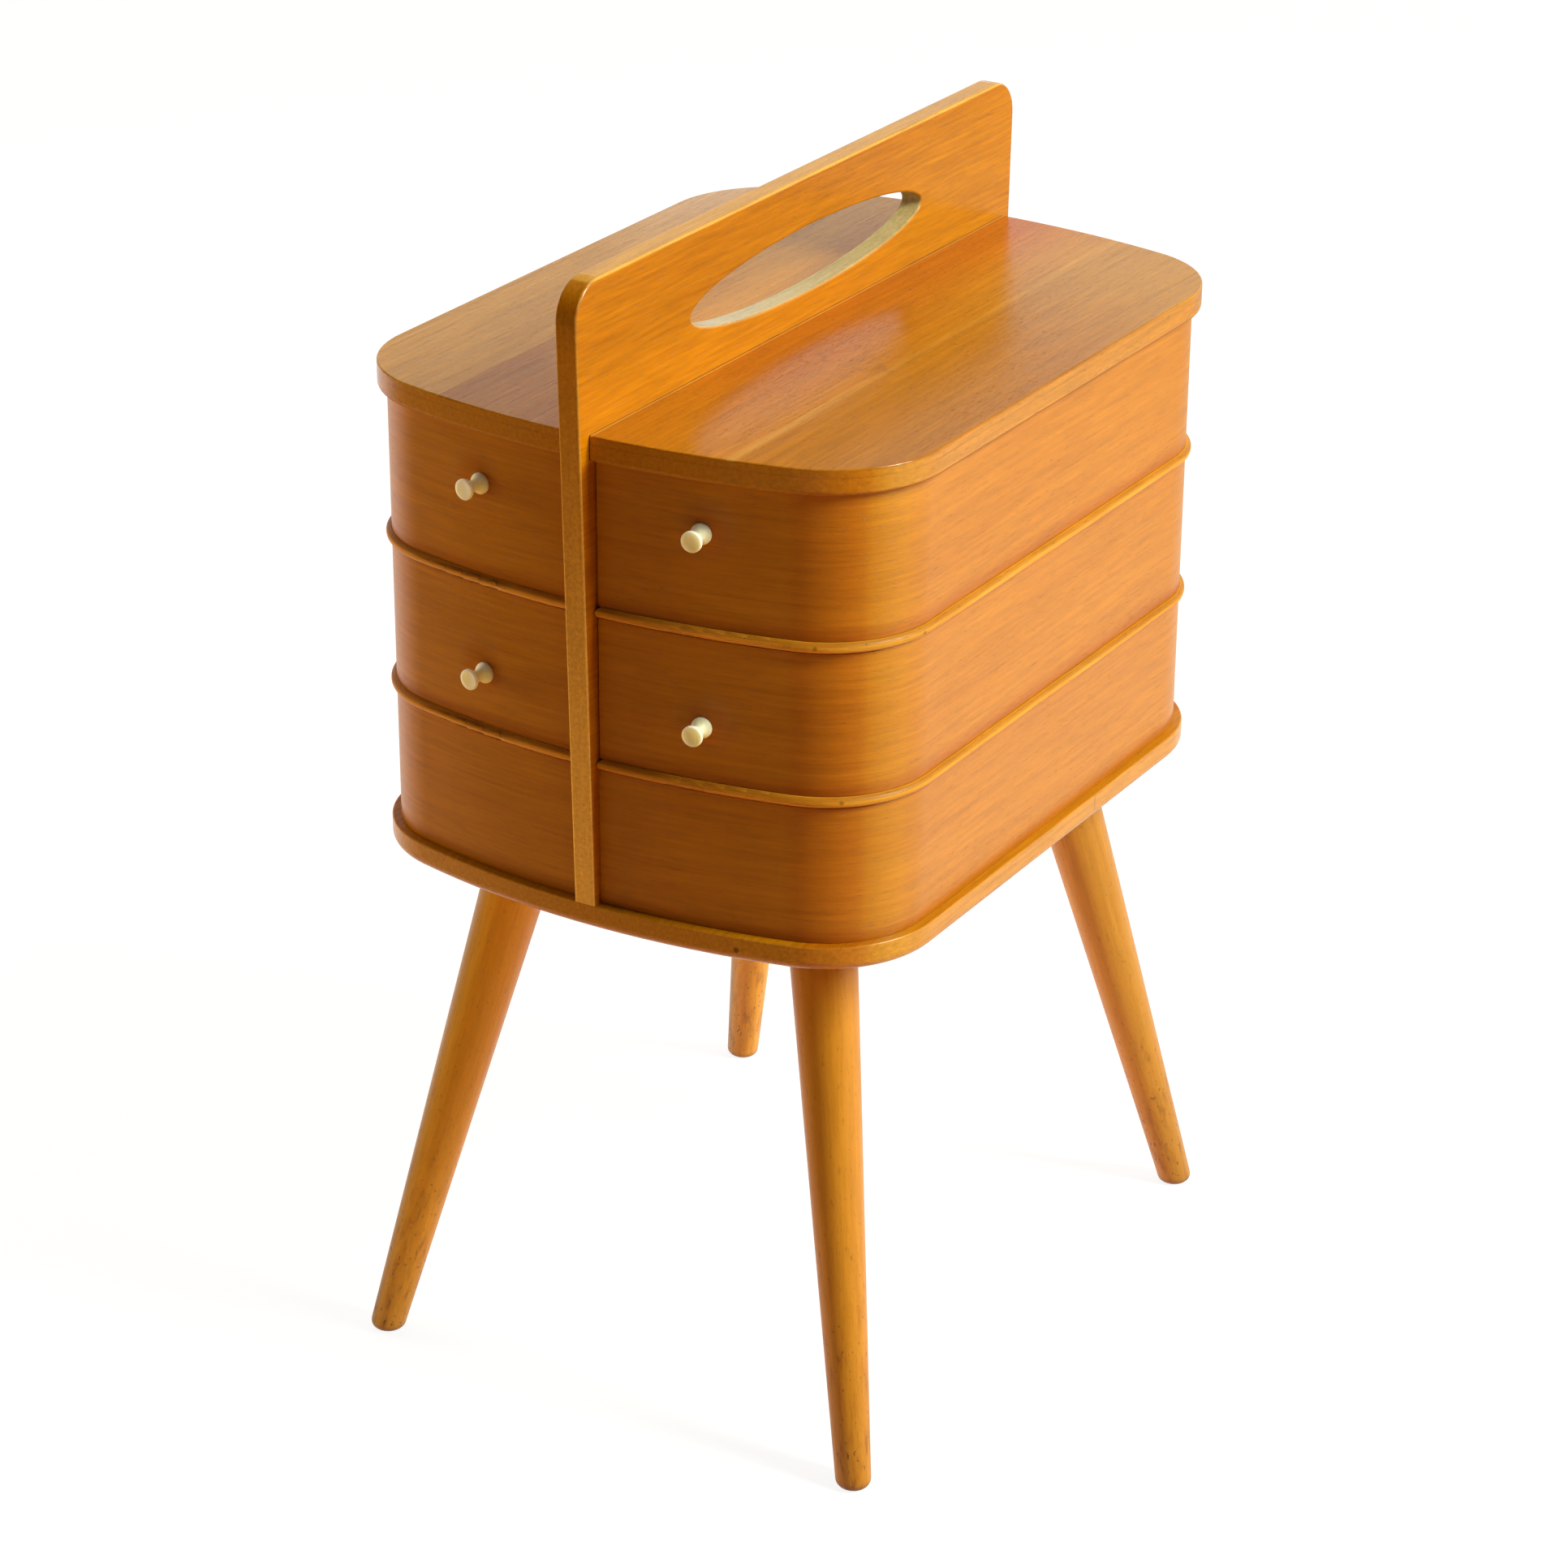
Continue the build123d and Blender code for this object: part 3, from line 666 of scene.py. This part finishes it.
def shape_tree(name, values):
    """Geometry tree with named inputs, and the wires that carry them."""
    tree = bpy.data.node_groups.new(name, "GeometryNodeTree")
    kinds = {float: "NodeSocketFloat", int: "NodeSocketInt", bpy.types.Material: "NodeSocketMaterial"}
    tree.interface.new_socket("Geometry", in_out="INPUT", socket_type="NodeSocketGeometry")
    for label, value in values.items():
        tree.interface.new_socket(label, in_out="INPUT", socket_type=kinds[type(value)])
    tree.interface.new_socket("Geometry", in_out="OUTPUT", socket_type="NodeSocketGeometry")
    source = node(tree, "NodeGroupInput")
    return tree, source


def close_tree(tree, given, shape):
    """End a tree in real mesh with its material."""
    real = node(tree, "GeometryNodeRealizeInstances", sockets={0: shape})
    coated = node(tree, "GeometryNodeSetMaterial",
                  sockets={"Geometry": real, "Material": given.of("Material")})
    node(tree, "NodeGroupOutput", sockets={"Geometry": coated})
    return tree


def grow(name, tree, values, mesh=None, angle=radians(40)):
    """Mesh object from a geometry tree, with its modifiers turned into plain mesh."""
    made = add_object(name, mesh or bpy.data.meshes.new(name))
    nodes = made.modifiers.new("shape", "NODES")
    nodes.node_group = tree
    for item in tree.interface.items_tree:
        if item.in_out == "INPUT" and item.name in values:
            nodes[item.identifier] = values[item.name]
    made.update_tag()
    apply_modifiers(made)
    made.data.name = name
    soften(made.data, angle)
    return made


def bent_wall_tree(values):
    """Strip that follows the plan: end bow, corner, straight side, corner, end bow."""
    tree, given = shape_tree("bent wall", values)
    thickness = given.of("Thickness")
    inset = given.of("Inset") + thickness * 0.5
    bow = given.of("Bow Radius") - inset
    corner = given.of("Corner Radius") - inset
    corner_x = given.of("Half Width") - given.of("Corner Radius")
    reach = given.of("Bow Radius") - given.of("Corner Radius")
    corner_rise = (reach * reach - corner_x * corner_x).root()
    bow_centre = given.of("Bow Radius") - given.of("Half Length")
    side_half = corner_rise - bow_centre
    bow_end = corner_x.arctangent(corner_rise)
    first = (given.of("Front Start") / bow).arcsine()
    last = (given.of("Back End") / bow).arcsine()
    # Each run of the path: its length, the angle it starts at, and its radius
    runs = (
        ((bow_end - first) * bow, first, bow),
        ((pi / 2 - bow_end) * corner, bow_end, corner),
        (side_half * 2, None, None),
        ((pi / 2 - bow_end) * corner, pi / 2, corner),
        ((bow_end - last) * bow, pi - bow_end, bow),
    )
    travelled = node(tree, "GeometryNodeSplineParameter").of("Factor") * reduce(
        Wire.__add__, (run_length for run_length, _, _ in runs))
    x = first.sine() * bow
    y = bow_centre - first.cosine() * bow
    for run_length, start, radius in runs:
        part = travelled.most(0.0).least(run_length)
        travelled = travelled - run_length
        if radius is None:
            y = y + part
            continue
        angle = part / radius + start
        start_sine = start.sine() if isinstance(start, Wire) else sin(start)
        start_cosine = start.cosine() if isinstance(start, Wire) else cos(start)
        x = x + (angle.sine() - start_sine) * radius
        y = y + (start_cosine - angle.cosine()) * radius
    height = given.of("Top") - given.of("Bottom")
    place = vector(tree, x * given.of("Side"), y, (given.of("Top") + given.of("Bottom")) * 0.5)
    line = node(tree, "GeometryNodeCurvePrimitiveLine")
    line = node(tree, "GeometryNodeResampleCurve", sockets={"Curve": line, "Count": given.of("Steps")})
    path = node(tree, "GeometryNodeSetPosition", sockets={"Geometry": line, "Position": place})
    path = node(tree, "GeometryNodeSetCurveNormal", {"mode": "Z_UP"}, {"Curve": path})
    outline = node(tree, "GeometryNodeCurvePrimitiveQuadrilateral",
                   sockets={"Width": thickness, "Height": height})
    outline = node(tree, "GeometryNodeFilletCurve", {"mode": "POLY"},
                   {"Curve": outline, "Count": 3, "Radius": given.of("Arris"), "Limit Radius": True})
    across, up, _ = split(node(tree, "GeometryNodeInputPosition"))
    on_edge = 1 - ((height * 0.5 - abs(up)) / given.of("Arris")).least(1.0)
    ply = vector(tree, across, up, on_edge)
    outline = node(tree, "GeometryNodeStoreNamedAttribute", {"data_type": "FLOAT_VECTOR", "domain": "POINT"},
                   {"Geometry": outline, "Name": "ply", "Value": ply})
    strip = node(tree, "GeometryNodeCurveToMesh",
                 sockets={"Curve": path, "Profile Curve": outline, "Fill Caps": True})
    return close_tree(tree, given, strip)


def point_outwards(mesh):
    """Turn a closed mesh's faces outwards."""
    shape = bmesh.new()
    shape.from_mesh(mesh)
    bmesh.ops.remove_doubles(shape, verts=shape.verts, dist=1e-7)
    bmesh.ops.recalc_face_normals(shape, faces=shape.faces)
    shape.to_mesh(mesh)
    shape.free()


def flatten_normals(made):
    """Keep broad faces flat beside their rounded edges."""
    weigh = made.modifiers.new("normals", "WEIGHTED_NORMAL")
    weigh.keep_sharp = True
    weigh.weight = 100
    apply_modifiers(made)


def turned(name, profile, segments):
    """Mesh of a closed turned shape from (radius, height) pairs that start and end on the axis."""
    verts = [(0, 0, profile[0][1])]
    for radius, height in profile[1:-1]:
        for i in range(segments):
            angle = 2 * pi * i / segments
            verts.append((radius * cos(angle), radius * sin(angle), height))
    verts.append((0, 0, profile[-1][1]))
    last_ring = 1 + (len(profile) - 3) * segments
    faces = []
    for i in range(segments):
        j = (i + 1) % segments
        faces.append((0, 1 + j, 1 + i))
        for a in range(1, last_ring, segments):
            b = a + segments
            faces.append((a + i, a + j, b + j, b + i))
        faces.append((last_ring + i, last_ring + j, len(verts) - 1))
    return plain_mesh(name, verts, faces)


def arc(centre, radius, start, end, steps):
    """Points on an arc, angles in degrees."""
    turns = [radians(start + (end - start) * i / steps) for i in range(steps + 1)]
    return [(centre[0] + radius * cos(a), centre[1] + radius * sin(a)) for a in turns]


def knob_profile(s):
    """Spool profile from the wall out: disc, drawn-in waist, disc and dished face."""
    rim, dish, dish_inset, dish_steps = 0.0006, 0.0006, 0.0009, 8
    back, front = s.knob_disc, s.knob_length - s.knob_disc
    depth = s.knob_radius - s.knob_waist
    half = (front - back) / 2
    waist_radius = (half**2 + depth**2) / (2 * depth)
    # The waist stops a little short of the rims' rounding
    swing = asin(half / waist_radius) * 180 / pi * 0.93
    rim_x = s.knob_radius - rim
    points = [(0, 0)]
    points += arc((rim_x, rim), rim, -90, 0, 5)
    points += arc((rim_x, back - rim), rim, 0, 60, 4)
    waist = (s.knob_waist + waist_radius, s.knob_length / 2)
    points += arc(waist, waist_radius, 180 + swing, 180 - swing, 18)
    points += arc((rim_x, front + rim), rim, -60, 0, 4)
    points += arc((rim_x, s.knob_length - rim), rim, 0, 100, 7)
    for i in range(dish_steps + 1):
        share = i / dish_steps
        points.append(((s.knob_radius - dish_inset) * (1 - share) + 0.0001 * share,
                       s.knob_length - dish * (0.2 + 0.8 * sin(share * pi / 2))))
    points.append((0, s.knob_length - dish))
    return points


def wall_knob_tree(values):
    """Sets the incoming knob square on the bowed front at a height."""
    tree, given = shape_tree("knob on the wall", values)
    bow = given.of("Bow Radius") - given.of("Inset")
    turn = (given.of("Reach") * given.of("Side") / bow).arcsine()
    centre = given.of("Bow Radius") - given.of("Half Length")
    place = vector(tree, turn.sine() * bow, centre - turn.cosine() * bow, given.of("Height"))
    spot = node(tree, "GeometryNodePoints", sockets={"Count": 1, "Position": place})
    facing = vector(tree, x=pi / 2, z=turn)
    knobs = node(tree, "GeometryNodeInstanceOnPoints",
                 sockets={"Points": spot, "Instance": given.of("Geometry"), "Rotation": facing})
    return close_tree(tree, given, knobs)


def screw_row_tree(values):
    """Evenly spaced copies of the incoming screw along the board."""
    tree, given = shape_tree("screw row", values)
    start = vector(tree, y=-given.of("Reach"), z=given.of("Height"))
    end = vector(tree, y=given.of("Reach"), z=given.of("Height"))
    row = node(tree, "GeometryNodeMeshLine", {"mode": "END_POINTS"},
               {"Count": given.of("Count"), "Start Location": start, "Offset": end})
    turn = node(tree, "FunctionNodeRandomValue", {"data_type": "FLOAT"},
                {"Min_001": 0.0, "Max_001": pi, "Seed": 3}, "Value_001")
    facing = vector(tree, z=turn)
    screws = node(tree, "GeometryNodeInstanceOnPoints",
                  sockets={"Points": row, "Instance": given.of("Geometry"), "Rotation": facing})
    return close_tree(tree, given, screws)


def board_screw_mesh(s):
    """Countersunk screw, head down, with a cross recess."""
    r, head, total = s.screw_radius, s.screw_head, s.screw_length
    head_height, z, pitch, root = 0.0027, 0.006, 0.0018, r * 0.72
    profile = [(0, 0), (head * 0.5, 0), (head * 0.93, 0), (head, 0.0003), (r, head_height), (r, z - 0.001)]
    while z < total - 0.006:
        profile += [(root, z), (r, z + pitch / 2)]
        z += pitch
    profile += [(r * 0.7, total - 0.004), (0.0006, total - 0.0004), (0, total)]
    screw = add_object("screw", turned("screw", profile, 32))
    blades = [add_object("recess", recess_blade(head)) for _ in range(2)]
    for blade, turn in zip(blades, (0, pi / 2)):
        blade.matrix_world = Matrix.Rotation(turn, 4, "Z")
        cut = screw.modifiers.new("recess", "BOOLEAN")
        cut.operation = "DIFFERENCE"
        cut.solver = "EXACT"
        cut.object = blade
    apply_modifiers(screw)
    mesh = screw.data
    for spare in (screw, *blades):
        bpy.data.objects.remove(spare)
    return mesh


def recess_blade(head):
    """Tapered blade that cuts half of a cross recess."""
    long, short, depth, width = head * 0.62, head * 0.25, 0.0021, head * 0.11
    verts = []
    for x in (-width, width):
        verts += [(x, -long, -0.0005), (x, long, -0.0005), (x, short, depth), (x, -short, depth)]
    faces = [(0, 3, 2, 1), (4, 5, 6, 7), (0, 1, 5, 4), (1, 2, 6, 5), (2, 3, 7, 6), (3, 0, 4, 7)]
    return plain_mesh("blade", verts, faces)


# Operators


class SEWINGBOX_OT_walls(Operator):
    """Bend the plywood walls of the trays and of the bottom compartments"""

    bl_idname = "sewing_box.walls"
    bl_label = "Bent walls"

    def execute(self, context):
        s = context.scene.sewing_box_sizes
        tree = None
        for tier in ("top_tray", "middle_tray", "bottom"):
            for side, sign in SIDES.items():
                nodes = [f"{tier}_wall_{end}_{side}" for end in ("front", "back")]
                low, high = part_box(nodes[0])
                start = low[0] if sign > 0 else -high[0]
                is_tray = tier != "bottom"
                values = {
                    "Half Width": s.half_width, "Half Length": s.half_length, "Bow Radius": s.bow_radius,
                    "Corner Radius": s.corner_radius, "Inset": s.wall_inset, "Thickness": s.wall_thickness,
                    "Front Start": start + WALL_SPARE,
                    "Back End": start + (s.pivot_setback - s.bead_reach if is_tray else WALL_SPARE),
                    "Bottom": low[2], "Top": high[2], "Side": float(sign), "Arris": s.wall_arris,
                    "Steps": s.wall_steps, "Material": material("wall_veneer"),
                }
                tree = tree or bent_wall_tree(values)
                wall = grow(f"bent_{tier}_wall_{side}", tree, values)
                point_outwards(wall.data)
                soften(wall.data)
                flatten_normals(wall)
                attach(wall, f"{tier}_{side}" if is_tray else "frame")
                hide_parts(*nodes)
        return {"FINISHED"}


class SEWINGBOX_OT_trays(Operator):
    """Finish the tray floors, the inner walls and the pivot blocks"""

    bl_idname = "sewing_box.trays"
    bl_label = "Tray floors and blocks"

    def execute(self, context):
        for side in SIDES:
            dress("beech", f"bottom_pivot_block_{side}")
            for level in LEVELS:
                dress("tray_floor_ply", f"{level}_tray_floor_{side}")
                dress("beech", f"{level}_tray_inner_wall_{side}", f"{level}_tray_pivot_block_{side}")
        return {"FINISHED"}


class SEWINGBOX_OT_knobs(Operator):
    """Turn the four spool knobs and finish their screws"""

    bl_idname = "sewing_box.knobs"
    bl_label = "Knobs"

    def execute(self, context):
        s = context.scene.sewing_box_sizes
        tree = None
        for level in LEVELS:
            for side, sign in SIDES.items():
                name = f"{level}_tray_knob_{side}"
                low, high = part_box(name)
                values = {
                    "Half Length": s.half_length, "Bow Radius": s.bow_radius, "Inset": s.wall_inset,
                    "Reach": s.knob_reach, "Height": (low[2] + high[2]) / 2, "Side": float(sign),
                    "Material": material("knob_plastic"),
                }
                tree = tree or wall_knob_tree(values)
                knob = grow(f"spool_knob_{level}_{side}", tree, values, turned("spool", knob_profile(s), 72))
                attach(knob, f"{level}_tray_{side}")
                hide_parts(name)
                dress("steel", f"{level}_tray_knob_screw_{side}")
        return {"FINISHED"}


class SEWINGBOX_OT_lids(Operator):
    """Finish the two half lids and their dowels"""

    bl_idname = "sewing_box.lids"
    bl_label = "Lids"

    def execute(self, context):
        dress("lid_veneer", "lid_left", "lid_right")
        dress("beech", "lid_dowels")
        return {"FINISHED"}


class SEWINGBOX_OT_board(Operator):
    """Finish the centre board with its hand hole"""

    bl_idname = "sewing_box.board"
    bl_label = "Centre board"

    def execute(self, context):
        dress("board_veneer", "centre_board")
        return {"FINISHED"}


class SEWINGBOX_OT_base(Operator):
    """Finish the base plate and the turned legs"""

    bl_idname = "sewing_box.base"
    bl_label = "Base plate and legs"

    def execute(self, context):
        dress("base_veneer", "base_plate")
        dress("leg_beech", *[f"leg_{end}_{side}" for end in ("front", "back") for side in SIDES])
        return {"FINISHED"}


class SEWINGBOX_OT_hardware(Operator):
    """Make the board screws, and finish the rods, washers, bolts and inserts"""

    bl_idname = "sewing_box.hardware"
    bl_label = "Screws and rods"

    def execute(self, context):
        s = context.scene.sewing_box_sizes
        dress("steel", "pivot_rod_left", "pivot_rod_right", "pivot_rod_washers", "leg_hanger_bolts",
              "leg_threaded_inserts")
        values = {"Reach": s.screw_reach, "Height": base_low[2] + 0.0001, "Count": s.screw_count,
                  "Material": material("steel")}
        screws = grow("cross_recess_board_screws", screw_row_tree(values), values, board_screw_mesh(s),
                      radians(30))
        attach(screws, "frame")
        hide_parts("board_screws")
        return {"FINISHED"}


class SEWINGBOX_OT_stage(Operator):
    """Set up the floor, the lights, the backdrop and the camera"""

    bl_idname = "sewing_box.stage"
    bl_label = "Studio"

    def execute(self, context):
        stage = context.scene.sewing_box_stage
        for build in (build_camera, build_floor, build_lights, build_world):
            build(stage)
        context.scene.view_settings.view_transform = "Standard"
        return {"FINISHED"}


def build_camera(stage):
    """Camera at the photograph's viewing angle."""
    back = Vector((cos(stage.elevation) * sin(stage.azimuth), -cos(stage.elevation) * cos(stage.azimuth),
                   sin(stage.elevation)))
    right = Vector((0, 0, 1)).cross(back).normalized()
    right = cos(stage.roll) * right + sin(stage.roll) * back.cross(right)
    lens = bpy.data.cameras.new("photograph view")
    lens.lens = stage.lens
    lens.sensor_width = 36
    lens.clip_end = 50
    camera = add_object("photograph view", lens)
    turn = Matrix((right, back.cross(right), back)).transposed().to_4x4()
    camera.matrix_world = Matrix.Translation(Vector(stage.target) + stage.distance * back) @ turn
    bpy.context.scene.camera = camera


def build_floor(stage):
    """Floor, white to the camera, wood-coloured where it lights the box, graded in its gloss."""
    half = 12.0
    corners = [(-half, -half, 0), (half, -half, 0), (half, half, 0), (-half, half, 0)]
    mesh = plain_mesh("studio_floor", corners, [(0, 1, 2, 3)])
    floor = add_object("studio_floor", mesh)
    paint = bpy.data.materials.new("studio_floor")
    tree = blank_tree(paint)
    rays = node(tree, "ShaderNodeLightPath")
    _, y, _ = split(node(tree, "ShaderNodeTexCoord").of("Object"))
    bright = eased(tree, y, -0.78, 0.12) * eased(tree, y, 0.6, 2.6, 1.0, 0.2)
    matte = node(tree, "ShaderNodeBsdfDiffuse", sockets={"Color": (0.66, 0.37, 0.11)})
    mirrored = node(tree, "ShaderNodeEmission", sockets={"Color": WHITE, "Strength": bright})
    thin = node(tree, "ShaderNodeBsdfDiffuse", sockets={"Color": (0.16, 0.16, 0.16)})
    glow = node(tree, "ShaderNodeEmission", sockets={"Color": WHITE, "Strength": stage.backdrop * 0.88})
    seen = node(tree, "ShaderNodeAddShader", sockets={0: thin, 1: glow})
    surface = blended(tree, rays.of("Is Glossy Ray"), matte, mirrored)
    surface = blended(tree, rays.of("Is Camera Ray"), surface, seen)
    node(tree, "ShaderNodeOutputMaterial", sockets={"Surface": surface})
    mesh.materials.append(paint)


def build_lights(stage):
    """Large soft lamps: the key on the right, a weak fill on the left."""
    aim = Vector((0, 0, 0.42))
    plan = (
        ("key", stage.key_light, Vector((2.55, 0.38, 1.95)), (0.8, 1.5), (1.0, 1.06, 0.88)),
        ("fill", stage.fill_light, Vector((-1.9, -0.35, 0.05)), (1.0, 1.0), (1.0, 0.91, 0.78)),
    )
    for name, strength, offset, (width, height), colour in plan:
        lamp = bpy.data.lights.new(name, "AREA")
        lamp.shape = "RECTANGLE"
        lamp.size = width
        lamp.size_y = height
        # A lamp of this power lights a facing surface to its own colour at strength 1
        lamp.energy = strength * pi * pi * offset.length_squared
        lamp.color = colour
        made = add_object(name, lamp)
        made.location = aim + offset
        made.visible_glossy = name == "key"
        made.rotation_euler = offset.to_track_quat("Z", "Y").to_euler()


def build_world(stage):
    """White where it is seen or mirrored, soft and dim where it lights the box."""
    world = bpy.data.worlds.new("studio")
    bpy.context.scene.world = world
    tree = blank_tree(world)
    rays = node(tree, "ShaderNodeLightPath")
    _, y, z = split(node(tree, "ShaderNodeTexCoord").of("Generated"))
    low = eased(tree, z, 0.27, 0.40, 1.0, 0.10)
    behind = eased(tree, y, -0.3, 0.3, 0.08, 1.0)
    far_back = eased(tree, y, 0.2, 0.6)
    seen = rays.of("Is Camera Ray").most(rays.of("Is Transmission Ray"))
    mirrored = rays.of("Is Glossy Ray") * (1 - seen)
    soft, sheen, white = (
        node(tree, "ShaderNodeBackground", sockets={"Color": colour, "Strength": strength})
        for colour, strength in (((1.0, 0.92, 0.80), behind * stage.ambient), (WHITE, low * far_back),
                                 (WHITE, stage.backdrop)))
    surface = blended(tree, seen, blended(tree, mirrored, soft, sheen), white)
    node(tree, "ShaderNodeOutputWorld", sockets={"Surface": surface})


BUILDERS = (
    SEWINGBOX_OT_walls,
    SEWINGBOX_OT_trays,
    SEWINGBOX_OT_knobs,
    SEWINGBOX_OT_lids,
    SEWINGBOX_OT_board,
    SEWINGBOX_OT_base,
    SEWINGBOX_OT_hardware,
    SEWINGBOX_OT_stage,
)

GROUPS = {
    SewingBoxSizes: "sewing_box_sizes",
    SewingBoxFinishes: "sewing_box_finishes",
    SewingBoxStage: "sewing_box_stage",
}


class SEWINGBOX_PT_panel(Panel):
    """Sizes, finishes and builders of the sewing box"""

    bl_idname = "SEWINGBOX_PT_panel"
    bl_label = "Sewing box"
    bl_space_type = "VIEW_3D"
    bl_region_type = "UI"
    bl_category = "Sewing box"

    def draw(self, context):
        for builder in BUILDERS:
            self.layout.operator(builder.bl_idname)
        for group, place in GROUPS.items():
            settings = getattr(context.scene, place)
            for name in group.__annotations__:
                self.layout.prop(settings, name)


def register():
    for group, place in GROUPS.items():
        bpy.utils.register_class(group)
        setattr(bpy.types.Scene, place, PointerProperty(type=group))
    for item in (*BUILDERS, SEWINGBOX_PT_panel):
        bpy.utils.register_class(item)


def unregister():
    for item in (SEWINGBOX_PT_panel, *BUILDERS[::-1]):
        bpy.utils.unregister_class(item)
    for group, place in GROUPS.items():
        delattr(bpy.types.Scene, place)
        bpy.utils.unregister_class(group)


def main():
    register()
    for builder in BUILDERS:
        area, action = builder.bl_idname.split(".")
        getattr(getattr(bpy.ops, area), action)()


if __name__ == "__main__":
    main()
